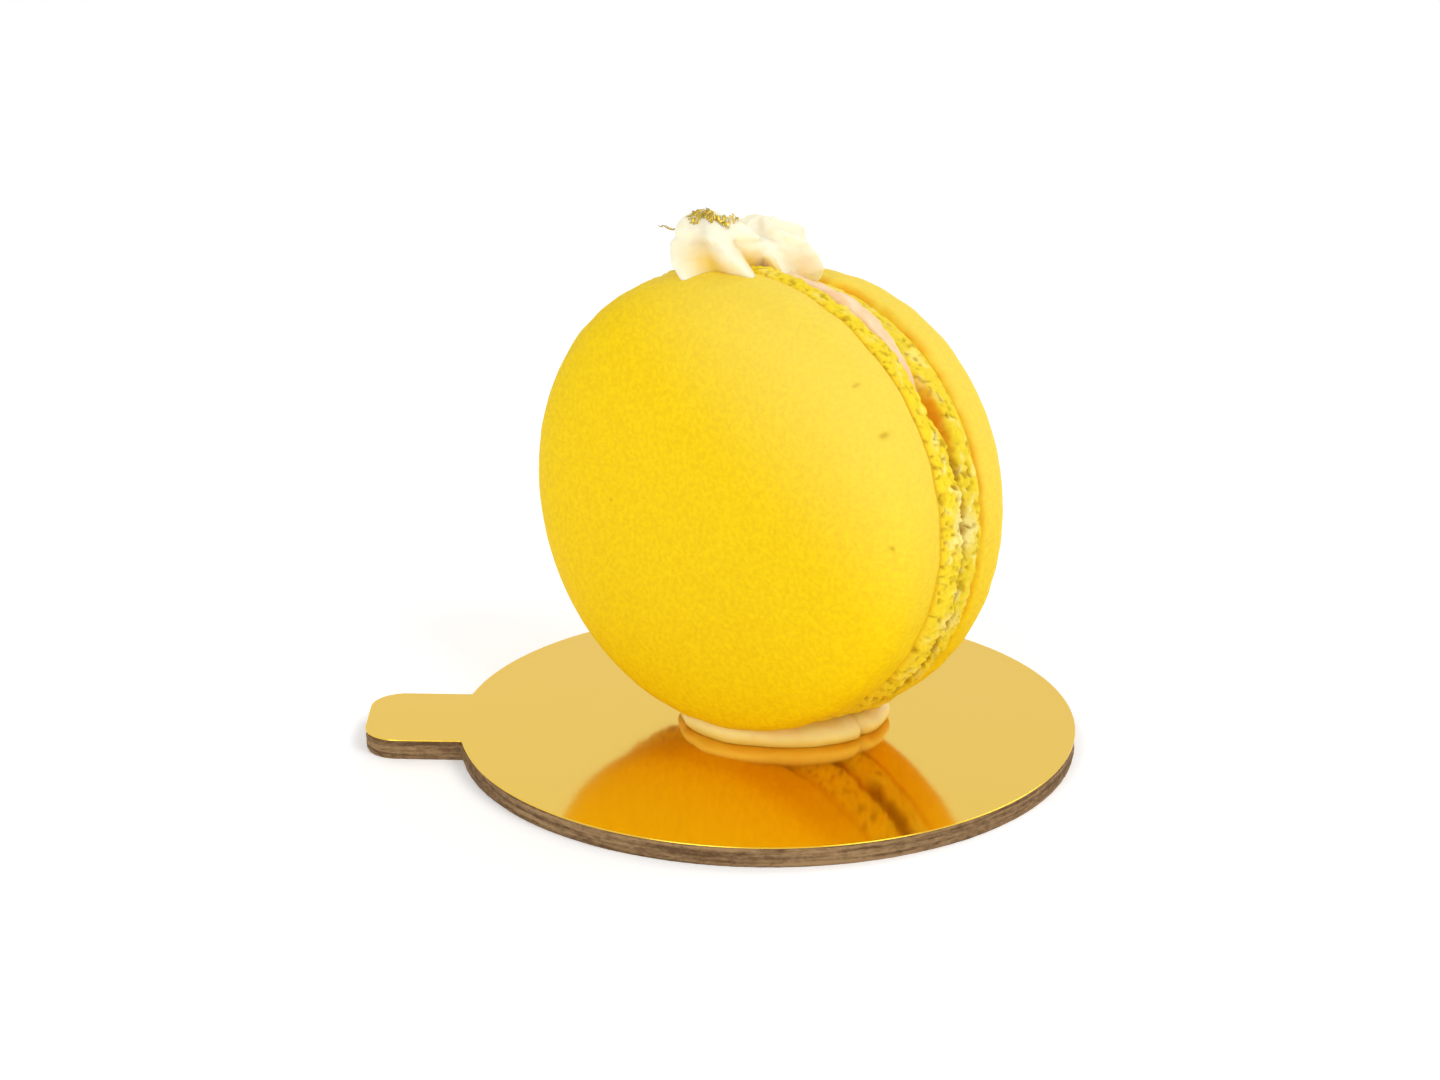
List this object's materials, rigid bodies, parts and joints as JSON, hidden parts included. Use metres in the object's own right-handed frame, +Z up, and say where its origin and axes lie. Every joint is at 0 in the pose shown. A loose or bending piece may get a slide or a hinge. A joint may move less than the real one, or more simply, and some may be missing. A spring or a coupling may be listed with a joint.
{
  "type": "macaron",
  "caption": "Macaron on its rim on a round gold card with a tab: domed shells with frilly feet, a thin filling, piped cream and gold leaf.",
  "frame": {"origin": "centre of the card's disc on its underside", "axes": "+Z up out of the card, -X from the disc's centre along the card's tab"},
  "size_m": [0.0806, 0.07, 0.0628],
  "materials": {
    "card": "gold foil laminated on grey-brown board",
    "shell": "matte baked almond meringue",
    "filling": "soft peach ganache, satin",
    "cream": "piped butter cream, satin",
    "board": "raw cut edge and underside of grey-brown board",
    "gold_leaf": "crumpled edible gold leaf"
  },
  "bodies": {
    "root": {"card": "card", "cream_base": "cream", "shell_front": "shell", "filling": "filling", "shell_back": "shell", "cream_rosette": "cream"}
  },
  "joints": []
}
